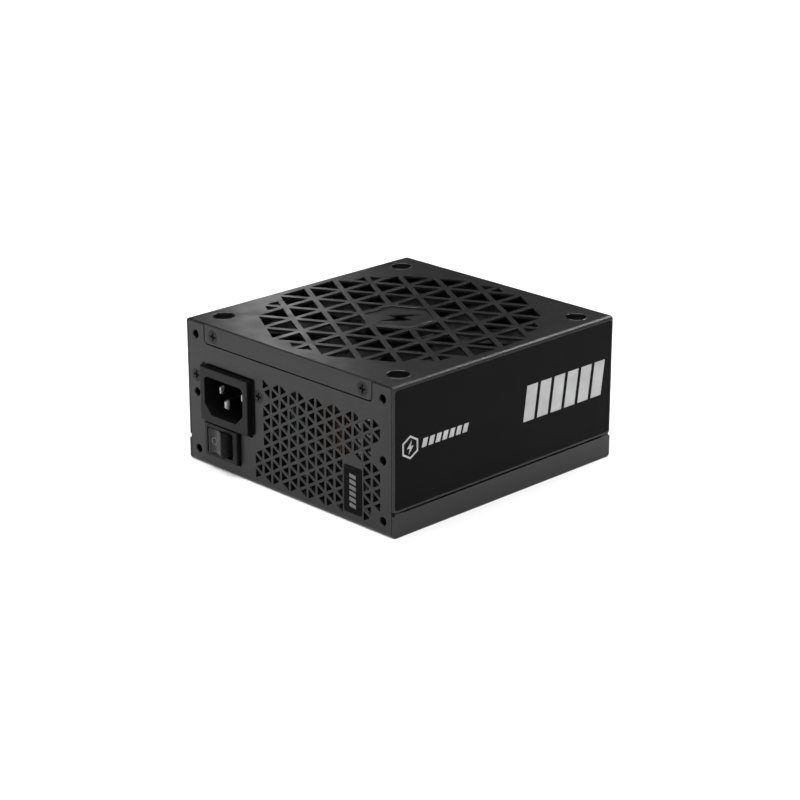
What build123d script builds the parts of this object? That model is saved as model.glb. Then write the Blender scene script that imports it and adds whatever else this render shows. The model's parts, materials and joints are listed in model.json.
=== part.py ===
from build123d import *
from math import cos, hypot, radians, sin, sqrt, tan
import os

# Compact computer power supply. Millimetres: X across the rear panel, Y from the rear panel
# (mains side) to the front panel (sockets), Z up. The origin is under the middle of the case.
WIDTH = 125.0
DEPTH = 130.0
HEIGHT = 63.5
SHEET = 1.0
BEND = 1.5
SEAM = 0.55
SIDE = WIDTH / 2
PANEL = DEPTH / 2
BOTH = (-1, 1)

# Planes of the outer faces, both drawn as (X, Z) and both with their normal along -Y
REAR_FACE = Plane.XZ.offset(PANEL)
FRONT_FACE = Plane.XZ.offset(-PANEL)
FRONT_OUT = Plane(origin=(0, PANEL, 0), x_dir=(-1, 0, 0), z_dir=(0, 1, 0))

# Where the top cover meets the lower tray
LIP_HEIGHT = 10.0
COVER_FOOT = 10.6
PANEL_HALF = SIDE - SHEET - 0.3
PANEL_TOP = HEIGHT - 0.75
CORNER_TAB = 5.2
FLAP_X = (-50.6, 50.3)
FLAP_FOOT = 55.0
FLAP_SCREW_X = 45.2
FLAP_SCREW_Z = 58.8
FLANGE_REAR = 59.5
FLANGE_FRONT = 60.3

# Screws: head radius, shank radius and length, with the head's height before the length if domed
FLAP_SCREW = (2.8, 1.5, 3.6)
INLET_SCREW = (2.75, 1.4, 4.6)
FAN_SCREW = (3.1, 1.9, 1.5, 8.0)

# Case mounting holes for number 6-32 screws
MOUNT_X = 56.5
MOUNT_Z = (6.0, 31.75, 57.5)
MOUNT_RADIUS = 1.75

# Triangular lattice of the rear vent
VENT_PITCH = 5.42
VENT_BAR = 1.25
VENT_ORIGIN = (-9.35, 8.25)
VENT_Z = (5.1, 48.9)
VENT_LOW_STRIP = -2
VENT_LOW_STRIP_TOP = 16.0
NAME_PLATE_STRIPS = (8, 9)
NAME_PLATE_ZONE_TOP = 28.0

# Triangular lattice of the fan grille
GRILLE_PITCH = 14.75
GRILLE_BAR = 2.5
GRILLE_RADIUS = 57.0
GRILLE_CORNER_RADIUS = 60.5
PLATE_RECESS = 0.6

# Labels, set flush in shallow pockets
LABEL_THICK = 0.3
LABEL_GAP = 0.12
SIDE_LABEL_Y = (-64.2, 64.2)
SIDE_LABEL_Z = (11.6, 61.9)
RATING_LABEL = (104.0, 92.0)
NAME_PLATE_X = (34.3, 44.5)
NAME_PLATE_Z = (4.3, 24.5)
NAME_PLATE_THICK = 0.2

# Mains inlet with three blades, and the switch below it
INLET_X = -36.8
INLET_Z = 33.15
INLET_FRONT = -67.3
INLET_BACK = -49.3
INLET_SCREWS = ((-56.5, 39.5), (-17.0, 39.5))
FLANGE_THICK = 1.6
CAVITY_FLOOR = -50.8
BLADE = (2.0, 4.0)
BLADE_SPREAD = 7.0
BLADE_TAIL = -44.5
WIRE_RADIUS = 0.9
SWITCH_X = -40.2
SWITCH_Z = 13.1
SWITCH_FRONT = -66.9
TERMINAL_X = (SWITCH_X - 7.0, SWITCH_X, SWITCH_X + 7.0)
PIVOT_Y = -61.9
ROCKER_CORNER = (5.6, 7.2)
ROCKER_VALLEY = 5.2
ROCKER_HEEL = (5.8, -3.0)
ROCKER_HEIGHT = 11.0
ROCKER_REST = -13.0
AXLE_RADIUS = 1.2
RUNNING_GAP = 0.06

# Fan, 120 mm square and 15 mm thick, hung under the grille by four screws
FAN_SIZE = 120.0
FAN_TOP = 60.6
FAN_BOTTOM = 45.6
FAN_HOLES = 105.0
FAN_BORE = 58.7
DIMPLE_RADIUS = 4.65
DIMPLE_FLOOR = 58.0
DIMPLE_SHEET = 0.8
HUB_RADIUS = 20.0
BLADE_TIP = 57.6
BLADE_COUNT = 9
SHAFT_RADIUS = 1.5

# Circuit board and the parts on it
BOARD_X = (-57.0, 57.0)
BOARD_Y = (-39.0, 54.0)
BOARD_Z = (7.4, 9.0)
EARTH_PLACE = (-4.0, -50.0)
BOARD_HOLES = ((-52.0, -35.0), (52.0, -35.0), (-52.0, 50.0), (52.0, 50.0))
ON_BOARD = 9.2

# Output sockets: pairs of cells, and places on the front panel
CELL_PITCH = 4.2
CELL = 3.4
SOCKET_DEPTH = 8.4
SOCKET_PROUD = 0.8
SOCKETS = {
    "socket_24_pin": (12, ((-26.0, 35.0),)),
    "sockets_8_pin": (4, ((18.0, 35.0), (43.0, 35.0), (-43.0, 16.5), (-19.0, 16.5))),
    "sockets_6_pin": (3, ((4.0, 16.5), (25.0, 16.5), (46.0, 16.5))),
}


def save(part, label):
    """Name a finished piece and write it to its own file."""
    part.label = label
    export_step(part, f"parts/{label}.step")


def block(x, y, z, mode=Mode.ADD):
    """Box between limits, each a (low, high) pair."""
    limits = (x, y, z)
    with Locations(tuple((low + high) / 2 for low, high in limits)):
        Box(*(high - low for low, high in limits), mode=mode)


def about(centre, half):
    """Limits (low, high) the same distance to both sides of a centre."""
    return (centre - half, centre + half)


def area(x, y, radius=0.0, mode=Mode.ADD):
    """Rectangle between limits in a sketch, with rounded corners when a radius is given."""
    width = x[1] - x[0]
    height = y[1] - y[0]
    with Locations(((x[0] + x[1]) / 2, (y[0] + y[1]) / 2)):
        if radius:
            RectangleRounded(width, height, radius, mode=mode)
        else:
            Rectangle(width, height, mode=mode)


def mirrored(low, high, sign):
    """Limits on the positive or the negative side of the middle plane."""
    return tuple(sorted((sign * low, sign * high)))


def tube(radius, bore, z, mode=Mode.ADD):
    """Ring about the Z axis, between two heights."""
    height = z[1] - z[0]
    ring = Cylinder(radius, height, mode=Mode.PRIVATE) - Cylinder(bore, height, mode=Mode.PRIVATE)
    with Locations((0, 0, z[0] + height / 2)):
        add(ring, mode=mode)


def lattice_cells(pitch, origin, strips, rows):
    """Triangles between columns of nodes: centre, and 0 or 180 degrees for the way it points."""
    side = pitch * 2 / sqrt(3)
    cells = []
    for strip in strips:
        for row in rows:
            foot = origin[1] + side * (row + (strip % 2) / 2)
            cells.append((origin[0] + pitch * (strip + 1 / 3), foot + side / 2, 0, strip))
            cells.append((origin[0] + pitch * (strip + 2 / 3), foot, 180, strip))
    return cells


def cut_cells(cells, radius):
    """Cut one triangle for each cell out of the sketch."""
    for direction in (0, 180):
        places = [(cell[0], cell[1]) for cell in cells if cell[2] == direction]
        with Locations(*places):
            RegularPolygon(
                radius, 3, rotation=direction, align=(Align.NONE, Align.NONE), mode=Mode.SUBTRACT
            )


def cell_hole(pitch, bar):
    """Corner radius of the hole left in a lattice cell by bars of the given width."""
    return 2 * (pitch / 3 - bar / 2)


def vent_cells():
    """Cells of the rear vent, leaving metal round the screws and the name plate."""
    keep_clear = (
        (INLET_SCREWS[1][0], INLET_SCREWS[1][1], 5.0),
        (MOUNT_X, MOUNT_Z[0], 5.7),
        (MOUNT_X, MOUNT_Z[1], 5.7),
    )
    kept = []
    for cell in lattice_cells(VENT_PITCH, VENT_ORIGIN, range(VENT_LOW_STRIP, 12), range(-2, 9)):
        x, z, _, strip = cell
        top = VENT_LOW_STRIP_TOP if strip == VENT_LOW_STRIP else VENT_Z[1]
        by_screw = any(hypot(x - cx, z - cz) < reach for cx, cz, reach in keep_clear)
        by_plate = strip in NAME_PLATE_STRIPS and z < NAME_PLATE_ZONE_TOP
        if VENT_Z[0] < z < top and not by_screw and not by_plate:
            kept.append(cell)
    return kept


def grille_cells():
    """Full cells of the fan grille, and the half-size ones at its rim."""
    reach = cell_hole(GRILLE_PITCH, GRILLE_BAR)
    full = []
    rim = []
    for cell in lattice_cells(GRILLE_PITCH, (0, 0), range(-5, 5), range(-5, 5)):
        x, y, direction, strip = cell
        distance = hypot(x, y)
        if GRILLE_PITCH < distance < GRILLE_RADIUS:
            full.append(cell)
        elif GRILLE_RADIUS < distance < GRILLE_CORNER_RADIUS:
            corners = [
                (x + reach * cos(radians(direction + turn)), y + reach * sin(radians(direction + turn)))
                for turn in (0, 120, 240)
            ]
            inner = min(corners, key=lambda corner: hypot(*corner))
            rim.append(((x + inner[0]) / 2, (y + inner[1]) / 2, direction, strip))
    return full, rim


def flat_screw(head, shank, length):
    """Countersunk cross-head screw along Z, its head flush with the XY plane."""
    with BuildPart() as screw:
        with BuildSketch(Plane.XZ):
            with BuildLine():
                Polyline(
                    (0, 0), (head, 0), (head, -0.25), (shank, -0.25 - head + shank),
                    (shank, -length), (0, -length), close=True,
                )
            make_face()
        revolve(axis=Axis.Z)
        with BuildSketch(Plane.XY):
            Rectangle(head * 1.25, head * 0.34)
            Rectangle(head * 0.34, head * 1.25)
        extrude(amount=-0.8, taper=12, mode=Mode.SUBTRACT)
    return screw.part


def screw_seat(head, shank, length):
    """Space that a countersunk screw needs, a little larger than the screw."""
    with BuildPart() as seat:
        with BuildSketch(Plane.XZ):
            with BuildLine():
                Polyline(
                    (0, 0.5), (head + 0.08, 0.5), (head + 0.08, -0.27),
                    (shank + 0.08, -0.27 - head + shank), (shank + 0.08, -length), (0, -length),
                    close=True,
                )
            make_face()
        revolve(axis=Axis.Z)
    return seat.part


def pan_screw(head, shank, height, length):
    """Domed cross-head screw along Z, the underside of its head on the XY plane."""
    with BuildPart() as screw:
        Cylinder(head, height, align=(Align.CENTER, Align.CENTER, Align.MIN))
        fillet(screw.edges().sort_by(Axis.Z)[-1], height * 0.45)
        Cylinder(shank, length, align=(Align.CENTER, Align.CENTER, Align.MAX))
        with BuildSketch(Plane.XY.offset(height)):
            Rectangle(head * 1.15, head * 0.3)
            Rectangle(head * 0.3, head * 1.15)
        extrude(amount=-height * 0.6, taper=10, mode=Mode.SUBTRACT)
    return screw.part


def panel_outline():
    """End panel between the cover's sides, widened below into the lips of the tray."""
    area((-PANEL_HALF, PANEL_HALF), (0, PANEL_TOP), radius=BEND - SHEET)
    area((-SIDE, SIDE), (0, LIP_HEIGHT))


def flap_notch():
    """Notch in a panel's top edge that the cover's flap closes."""
    x = (FLAP_X[0] - SEAM, FLAP_X[1] + SEAM)
    area(x, (FLAP_FOOT - SEAM, HEIGHT + 5), radius=BEND + SEAM, mode=Mode.SUBTRACT)


def inlet_cutout():
    """Opening of the rear panel round the inlet, with clipped corners, and the one round the switch."""
    clip = 2.3
    left, right, low, high = -54.4, -19.2, 20.2, 46.2
    Polygon(
        (left + clip, low), (right - clip, low), (right, low + clip), (right, high - 0.6),
        (right - 0.6, high), (left + clip, high), (left, high - clip), (left, low + clip),
        align=None, mode=Mode.SUBTRACT,
    )
    area((SWITCH_X - 10.7, SWITCH_X + 11.3), (SWITCH_Z - 8.1, low + 1), mode=Mode.SUBTRACT)


def panel_tabs(y_in, y_out, sign):
    """Threaded tabs behind a panel, which the flap's screws reach."""
    for side in BOTH:
        block(about(side * FLAP_SCREW_X, 4.5), mirrored(y_in, y_out, sign), (50.0, 62.3))


def side_flanges(depth, sign):
    """Flanges along both upright edges of a panel, inside the cover."""
    for side in BOTH:
        block(
            mirrored(SIDE - 2 * SHEET, SIDE - SHEET, side),
            mirrored(depth, PANEL - SHEET, sign),
            (SHEET, HEIGHT - 3.0),
        )


def corner_tabs():
    """Ends of the lips, a little higher than the rest."""
    for side in BOTH:
        for end in BOTH:
            block(
                mirrored(SIDE - SHEET, SIDE, side),
                mirrored(PANEL - CORNER_TAB, PANEL, end),
                (LIP_HEIGHT - 1, COVER_FOOT - 0.2),
            )


def corner_reliefs():
    """Notch and upright slit at the four corners, where the lips meet the end panels."""
    for side in BOTH:
        for end in BOTH:
            block(
                mirrored(SIDE - 0.9, SIDE + 1, side),
                mirrored(PANEL - 0.9, PANEL + 1, end),
                (LIP_HEIGHT - 0.4, COVER_FOOT + 0.5),
                mode=Mode.SUBTRACT,
            )
            block(
                mirrored(PANEL_HALF, SIDE - SHEET, side),
                mirrored(PANEL - SHEET, PANEL + 1, end),
                (0.5, COVER_FOOT + 0.5),
                mode=Mode.SUBTRACT,
            )


def lower_chassis():
    seat = screw_seat(*FLAP_SCREW)
    inlet_seat = screw_seat(*INLET_SCREW)
    with BuildPart() as chassis:
        block((-SIDE, SIDE), (-PANEL, PANEL), (0, SHEET))
        with BuildSketch(REAR_FACE):
            panel_outline()
            flap_notch()
            inlet_cutout()
            cut_cells(vent_cells(), cell_hole(VENT_PITCH, VENT_BAR))
        extrude(amount=-SHEET)
        with BuildSketch(FRONT_FACE):
            panel_outline()
            flap_notch()
            for pairs, places in SOCKETS.values():
                half = pairs * CELL_PITCH / 2 + 0.9
                for x, z in places:
                    area(about(x, half), about(z, 5.1), mode=Mode.SUBTRACT)
                    area(about(x, 3.0), (z, z + 6.4), mode=Mode.SUBTRACT)
        extrude(amount=SHEET)
        for side in BOTH:
            block(mirrored(SIDE - SHEET, SIDE, side), (-PANEL, PANEL), (0, LIP_HEIGHT))
            block(mirrored(SIDE - 2 * SHEET, SIDE - SHEET, side), (-8.5, 9.3), (SHEET, 16.0))
        side_flanges(FLANGE_REAR, -1)
        side_flanges(FLANGE_FRONT, 1)
        panel_tabs(PANEL - 2 * SHEET, PANEL - SHEET, -1)
        panel_tabs(PANEL - 2 * SHEET, PANEL - SHEET, 1)
        corner_tabs()
        fillet(chassis.edges().filter_by(Axis.X).group_by(Axis.Z)[0], BEND)
        corner_reliefs()
        with Locations((*EARTH_PLACE, SHEET)):
            Cylinder(3.2, 3.0, align=(Align.CENTER, Align.CENTER, Align.MIN))
        with Locations((*EARTH_PLACE, SHEET + 0.5)):
            Cylinder(1.3, 4.0, align=(Align.CENTER, Align.CENTER, Align.MIN), mode=Mode.SUBTRACT)
        block(
            about(0, RATING_LABEL[0] / 2), about(0, RATING_LABEL[1] / 2), (-1, LABEL_THICK),
            mode=Mode.SUBTRACT,
        )
        with Locations(*flap_screw_places(REAR_FACE), *flap_screw_places(FRONT_OUT)):
            add(seat, mode=Mode.SUBTRACT)
        with Locations(*[REAR_FACE.location * Pos(x, z) for x, z in INLET_SCREWS]):
            add(inlet_seat, mode=Mode.SUBTRACT)
        for x in BOTH:
            for z in MOUNT_Z:
                with Locations(REAR_FACE.location * Pos(x * MOUNT_X, z)):
                    CounterSinkHole(MOUNT_RADIUS, MOUNT_RADIUS + 0.25, 3.0)
    save(chassis.part, "lower_chassis")


def flap_screw_places(plane):
    """Places of the two screws of a flap, with Z pointing out of the panel."""
    return [plane.location * Pos(side * FLAP_SCREW_X, FLAP_SCREW_Z) for side in BOTH]


def dimple():
    """Drawn recess in the cover that takes one fan screw."""
    with BuildPart() as ring:
        with BuildSketch(Plane.XZ):
            with BuildLine():
                Polyline(
                    (DIMPLE_RADIUS + 0.2, HEIGHT), (DIMPLE_RADIUS + 1.2, HEIGHT),
                    (DIMPLE_RADIUS + 1.2, HEIGHT - SHEET), (DIMPLE_RADIUS + 0.7, HEIGHT - SHEET),
                    (DIMPLE_RADIUS + 0.6, DIMPLE_FLOOR), (2.1, DIMPLE_FLOOR),
                    (2.1, DIMPLE_FLOOR + DIMPLE_SHEET),
                    (DIMPLE_RADIUS - 0.2, DIMPLE_FLOOR + DIMPLE_SHEET), (DIMPLE_RADIUS, HEIGHT - 0.3),
                    close=True,
                )
            make_face()
        revolve(axis=Axis.Z)
    return ring.part


def bolt_mark():
    """Plain lightning bolt, drawn about the origin of the sketch."""
    Polygon((3.4, 10.4), (-6.5, -1.5), (-0.8, -1.5), (-3.4, -10.4), (6.5, 1.5), (0.8, 1.5), align=None)


def top_cover():
    corner = dimple()
    seat = screw_seat(*FLAP_SCREW)
    hexagon = GRILLE_PITCH * 2 / sqrt(3)
    full, rim = grille_cells()
    with BuildPart() as cover:
        with BuildSketch(REAR_FACE) as section:
            area((-SIDE, SIDE), (COVER_FOOT, HEIGHT))
            fillet(section.vertices().group_by(Axis.Y)[-1], BEND)
            with BuildSketch(mode=Mode.SUBTRACT) as inside:
                area((SHEET - SIDE, SIDE - SHEET), (COVER_FOOT - 1, HEIGHT - SHEET))
                fillet(inside.vertices().group_by(Axis.Y)[-1], BEND - SHEET)
        extrude(amount=-DEPTH)
        fillet(cover.edges().filter_by(Axis.X).group_by(Axis.Z)[0], BEND)
        with BuildSketch(REAR_FACE) as flap:
            area(FLAP_X, (FLAP_FOOT, HEIGHT))
            fillet(flap.vertices().group_by(Axis.Y)[0], BEND)
        extrude(amount=-SHEET)
        with BuildSketch(FRONT_FACE) as flap:
            area(FLAP_X, (FLAP_FOOT, HEIGHT))
            fillet(flap.vertices().group_by(Axis.Y)[0], BEND)
        extrude(amount=SHEET)
        bends = cover.edges().filter_by(Axis.X).group_by(Axis.Z)[-1]
        fillet([bends.sort_by(Axis.Y)[0], bends.sort_by(Axis.Y)[-1]], 0.5)
        for end in BOTH:
            for left, right in ((SHEET - SIDE, FLAP_X[0]), (FLAP_X[1], SIDE - SHEET)):
                block(
                    (left, right), mirrored(PANEL - SHEET - 0.2, PANEL + 1, end),
                    (HEIGHT - 1.6, PANEL_TOP + 0.25), mode=Mode.SUBTRACT,
                )
        with BuildSketch(Plane.XY.offset(HEIGHT)):
            Circle(GRILLE_CORNER_RADIUS + GRILLE_PITCH)
            with BuildSketch(mode=Mode.SUBTRACT):
                Circle(GRILLE_CORNER_RADIUS + GRILLE_PITCH)
                cut_cells(full, cell_hole(GRILLE_PITCH, GRILLE_BAR))
                cut_cells(rim, cell_hole(GRILLE_PITCH, GRILLE_BAR) / 2)
                RegularPolygon(hexagon - GRILLE_BAR / sqrt(3), 6, rotation=90, mode=Mode.SUBTRACT)
        extrude(amount=-SHEET, mode=Mode.SUBTRACT)
        with BuildSketch(Plane.XY.offset(HEIGHT - PLATE_RECESS)):
            RegularPolygon(hexagon, 6, rotation=90)
        extrude(amount=-0.8)
        with BuildSketch(Plane.XY.offset(HEIGHT - PLATE_RECESS)):
            bolt_mark()
        extrude(amount=-0.8, mode=Mode.SUBTRACT)
        with GridLocations(FAN_HOLES, FAN_HOLES, 2, 2):
            with Locations((0, 0, HEIGHT)):
                Cylinder(DIMPLE_RADIUS + 0.9, 3 * SHEET, mode=Mode.SUBTRACT)
            add(corner)
        with Locations(*flap_screw_places(REAR_FACE), *flap_screw_places(FRONT_OUT)):
            add(seat, mode=Mode.SUBTRACT)
        for side in BOTH:
            with BuildSketch(Plane.YZ.offset(side * SIDE)):
                area(SIDE_LABEL_Y, SIDE_LABEL_Z, radius=BEND)
            extrude(amount=-side * LABEL_THICK, mode=Mode.SUBTRACT)
    save(cover.part, "top_cover")


def labels():
    y = (SIDE_LABEL_Y[0] + LABEL_GAP, SIDE_LABEL_Y[1] - LABEL_GAP)
    z = (SIDE_LABEL_Z[0] + LABEL_GAP, SIDE_LABEL_Z[1] - LABEL_GAP)
    for name, side in (("side_label_right", 1), ("side_label_left", -1)):
        with BuildPart() as label:
            with BuildSketch(Plane.YZ.offset(side * SIDE)):
                area(y, z, radius=BEND - LABEL_GAP)
            extrude(amount=-side * LABEL_THICK)
        save(label.part, name)
    with BuildPart() as plate:
        with BuildSketch(REAR_FACE):
            area(NAME_PLATE_X, NAME_PLATE_Z, radius=1.0)
        extrude(amount=NAME_PLATE_THICK)
    save(plate.part, "rear_name_plate")
    with BuildPart() as rating:
        with BuildSketch(Plane.XY):
            RectangleRounded(RATING_LABEL[0] - 2 * LABEL_GAP, RATING_LABEL[1] - 2 * LABEL_GAP, BEND)
        extrude(amount=LABEL_THICK)
    save(rating.part, "rating_label")


def case_screws():
    flat = flat_screw(*FLAP_SCREW)
    for name, plane in (
        ("rear_flap_screws", REAR_FACE),
        ("front_flap_screws", FRONT_OUT),
    ):
        with BuildPart() as screws:
            with Locations(*flap_screw_places(plane)):
                add(flat)
        save(screws.part, name)
    with BuildPart() as screws:
        with Locations(*[REAR_FACE.location * Pos(x, z) for x, z in INLET_SCREWS]):
            add(flat_screw(*INLET_SCREW))
    save(screws.part, "inlet_screws")
    with BuildPart() as screws:
        with GridLocations(FAN_HOLES, FAN_HOLES, 2, 2):
            with Locations((0, 0, DIMPLE_FLOOR + DIMPLE_SHEET)):
                add(pan_screw(*FAN_SCREW))
    save(screws.part, "fan_screws")


def inlet_housing():
    seat = screw_seat(*INLET_SCREW)
    front = REAR_FACE.offset(-PANEL - INLET_FRONT)
    cavity_x = (INLET_X - 12.25, INLET_X + 12.15)
    cavity_z = (INLET_Z - 8.5, INLET_Z + 8.2)
    with BuildPart() as housing:
        with BuildSketch(front):
            area(about(INLET_X, 15.1), about(INLET_Z, 12.05), radius=0.8)
        extrude(amount=-(SHEET + 2.3))
        with BuildSketch(REAR_FACE.offset(-SHEET)):
            area((-55.6, -18.0), (3.6, 47.4), radius=2.0)
            area((-60.3, -13.2), (35.6, 43.4), radius=3.8)
            with Locations((-MOUNT_X, MOUNT_Z[1])):
                Circle(3.0, mode=Mode.SUBTRACT)
            area(about(SWITCH_X, 10.2), about(SWITCH_Z, 7.0), mode=Mode.SUBTRACT)
        extrude(amount=-FLANGE_THICK)
        block(
            (cavity_x[0] - 1.7, cavity_x[1] + 1.7),
            (INLET_BACK - 13.1, INLET_BACK),
            (cavity_z[0] - 1.7, cavity_z[1] + 1.7),
        )
        with BuildSketch(front) as cavity:
            area(cavity_x, cavity_z)
            low, high = cavity.vertices().group_by(Axis.Y)
            fillet(high, 2.0)
            chamfer(cavity.vertices().group_by(Axis.Y)[0], 4.5, 4.3)
        extrude(amount=INLET_FRONT - CAVITY_FLOOR, mode=Mode.SUBTRACT)
        fillet(housing.faces().sort_by(Axis.Y)[0].outer_wire().edges(), 0.35)
        with Locations(*[REAR_FACE.location * Pos(x, z) for x, z in INLET_SCREWS]):
            add(seat, mode=Mode.SUBTRACT)
        for x, z in blade_places():
            block(
                about(x, BLADE[0] / 2), (CAVITY_FLOOR - 1, INLET_BACK + 1), about(z, BLADE[1] / 2),
                mode=Mode.SUBTRACT,
            )
    save(housing.part, "inlet_housing")


def blade_places():
    """Centres of the line, neutral and earth blades."""
    centre = INLET_X - 0.05
    return (
        (centre - BLADE_SPREAD, INLET_Z + 1.85),
        (centre + BLADE_SPREAD, INLET_Z + 1.85),
        (centre, INLET_Z - 2.15),
    )


def inlet_pins():
    tips = {"line": -63.0, "neutral": -63.0, "earth": -66.2}
    for (name, tip), (x, z) in zip(tips.items(), blade_places()):
        with BuildPart() as pin:
            block(about(x, BLADE[0] / 2), (tip, BLADE_TAIL), about(z, BLADE[1] / 2))
            nose = pin.faces().sort_by(Axis.Y)[0]
            chamfer(nose.edges().filter_by(Axis.Z), 0.6, 1.4, reference=nose)
            chamfer(pin.faces().sort_by(Axis.Y)[0].edges().filter_by(Axis.X), 0.6)
            with Locations((x, BLADE_TAIL - 2.2, z)):
                Cylinder(0.9, 10, rotation=(0, 90, 0), mode=Mode.SUBTRACT)
        save(pin.part, f"inlet_pin_{name}")


def switch_housing():
    front = REAR_FACE.offset(-PANEL - SWITCH_FRONT)
    bezel_x = (SWITCH_X - 10.1, SWITCH_X + 10.7)
    with BuildPart() as housing:
        with BuildSketch(front):
            area(bezel_x, about(SWITCH_Z, 7.5), radius=0.7)
        extrude(amount=SWITCH_FRONT + PANEL - SHEET)
        block(about(SWITCH_X, 10.1), (-64.0, -50.0), about(SWITCH_Z, 6.9))
        fillet(housing.faces().sort_by(Axis.Y)[0].outer_wire().edges(), 0.5)
        with BuildSketch(front):
            area(about(SWITCH_X, 8.2), about(SWITCH_Z, 5.7))
        extrude(amount=SWITCH_FRONT + 62.0, mode=Mode.SUBTRACT)
        block(about(SWITCH_X, 9.3), (-66.2, -53.0), about(SWITCH_Z, 5.7), mode=Mode.SUBTRACT)
        with Locations((SWITCH_X, PIVOT_Y, SWITCH_Z)):
            Cylinder(AXLE_RADIUS + RUNNING_GAP, 12.9, mode=Mode.SUBTRACT)
        for x in TERMINAL_X:
            block(about(x, 0.4), (-54.0, -49.0), about(SWITCH_Z, 2.4), mode=Mode.SUBTRACT)
    save(housing.part, "switch_housing")
    with BuildPart() as terminals:
        for x in TERMINAL_X:
            block(about(x, 0.4), (-53.0, BLADE_TAIL), about(SWITCH_Z, 2.4))
    save(terminals.part, "switch_terminals")


def switch_rocker():
    """Rocker drawn level about its pivot, then turned to its rest position."""
    x, y = ROCKER_CORNER
    heel_x, heel_y = ROCKER_HEEL
    foot = (SWITCH_X, PIVOT_Y, SWITCH_Z - ROCKER_HEIGHT / 2)
    rest = Plane(origin=foot, x_dir=(-1, 0, 0), z_dir=(0, 0, 1)).rotated((0, 0, ROCKER_REST))
    with BuildPart() as rocker:
        with BuildSketch(rest):
            with BuildLine():
                ThreePointArc((-x, y), (0, ROCKER_VALLEY), (x, y))
                Polyline((x, y), (heel_x, heel_y), (-heel_x, heel_y), (-x, y))
            make_face()
        extrude(amount=ROCKER_HEIGHT)
        edges = rocker.edges().filter_by(Axis.Z, reverse=True).filter_by(GeomType.CIRCLE)
        ridges = rocker.edges().filter_by(Axis.Z).sort_by(Axis.Y)[:2]
        fillet(edges + ridges, 0.3)
        with Locations((SWITCH_X, PIVOT_Y, SWITCH_Z)):
            Cylinder(AXLE_RADIUS, 12.6)
    save(rocker.part, "switch_rocker")


def fan_frame():
    with BuildPart() as frame:
        with BuildSketch(Plane.XY.offset(FAN_BOTTOM)):
            RectangleRounded(FAN_SIZE, FAN_SIZE, 6)
            Circle(FAN_BORE, mode=Mode.SUBTRACT)
            with GridLocations(FAN_HOLES, FAN_HOLES, 2, 2):
                Circle(2.15, mode=Mode.SUBTRACT)
        extrude(amount=FAN_TOP - FAN_BOTTOM)
        with GridLocations(FAN_HOLES, FAN_HOLES, 2, 2):
            with Locations((0, 0, DIMPLE_FLOOR)):
                Cylinder(
                    DIMPLE_RADIUS + 1.0, FAN_TOP - DIMPLE_FLOOR,
                    align=(Align.CENTER, Align.CENTER, Align.MIN), mode=Mode.SUBTRACT,
                )
        with BuildSketch(Plane.XY.offset(FAN_BOTTOM)):
            Circle(19)
            with PolarLocations(39, 4, start_angle=20):
                Rectangle(40.5, 5)
        extrude(amount=2.6)
        tube(4.2, 3.0, (FAN_BOTTOM + 0.6, 56.9))
        with Locations((0, 0, FAN_BOTTOM + 0.6)):
            Cylinder(3.0, 20, align=(Align.CENTER, Align.CENTER, Align.MIN), mode=Mode.SUBTRACT)
        tube(17.5, 4.2, (47.4, 49.0), mode=Mode.SUBTRACT)
    save(frame.part, "fan_frame")
    with BuildPart() as bearing:
        tube(2.95, SHAFT_RADIUS + 0.05, (47.6, 56.8))
    save(bearing.part, "fan_bearing")


def fan_motor():
    with BuildPart() as board:
        tube(15.5, 4.25, (47.4, 48.2))
    save(board.part, "fan_circuit_board")
    with BuildPart() as core:
        tube(6.5, 4.25, (50.5, 54.5))
        with BuildSketch(Plane.XY.offset(50.5)):
            Circle(14.6)
            Circle(12.8, mode=Mode.SUBTRACT)
            with PolarLocations(14, 4, start_angle=45):
                Rectangle(5.0, 2.4, mode=Mode.SUBTRACT)
            with PolarLocations(9.5, 4):
                Rectangle(8.0, 2.6)
        extrude(amount=4.0)
    save(core.part, "fan_stator_core")
    with BuildPart() as coils:
        with PolarLocations(9.8, 4):
            with Locations((0, 0, 52.5)):
                Box(4.6, 5.6, 7.0)
                Box(6.0, 2.65, 4.05, mode=Mode.SUBTRACT)
    save(coils.part, "fan_coils")


def fan_blade():
    """Swept blade: three cambered sections, from inside the hub wall to beyond the tip circle."""
    sections = ((19.0, 15.0, 40.0, 0.0, 1.5), (38.0, 20.0, 30.0, 3.5, 1.3), (60.0, 26.0, 22.0, 9.0, 1.1))
    middle = (FAN_TOP + FAN_BOTTOM) / 2 + 1.3
    with BuildPart() as blade:
        for radius, chord, pitch, sweep, thick in sections:
            plane = Plane(origin=(radius, sweep, middle), x_dir=(0, 1, 0), z_dir=(1, 0, 0))
            with BuildSketch(plane.rotated((0, 0, pitch))):
                with BuildLine():
                    ThreePointArc((-chord / 2, 0), (0, chord * 0.07), (chord / 2, 0))
                    ThreePointArc((chord / 2, 0), (0, chord * 0.07 - thick), (-chord / 2, 0))
                make_face()
        loft()
        tube(BLADE_TIP, HUB_RADIUS - 0.8, (48.9, 59.9), mode=Mode.INTERSECT)
    return blade.part


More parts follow.
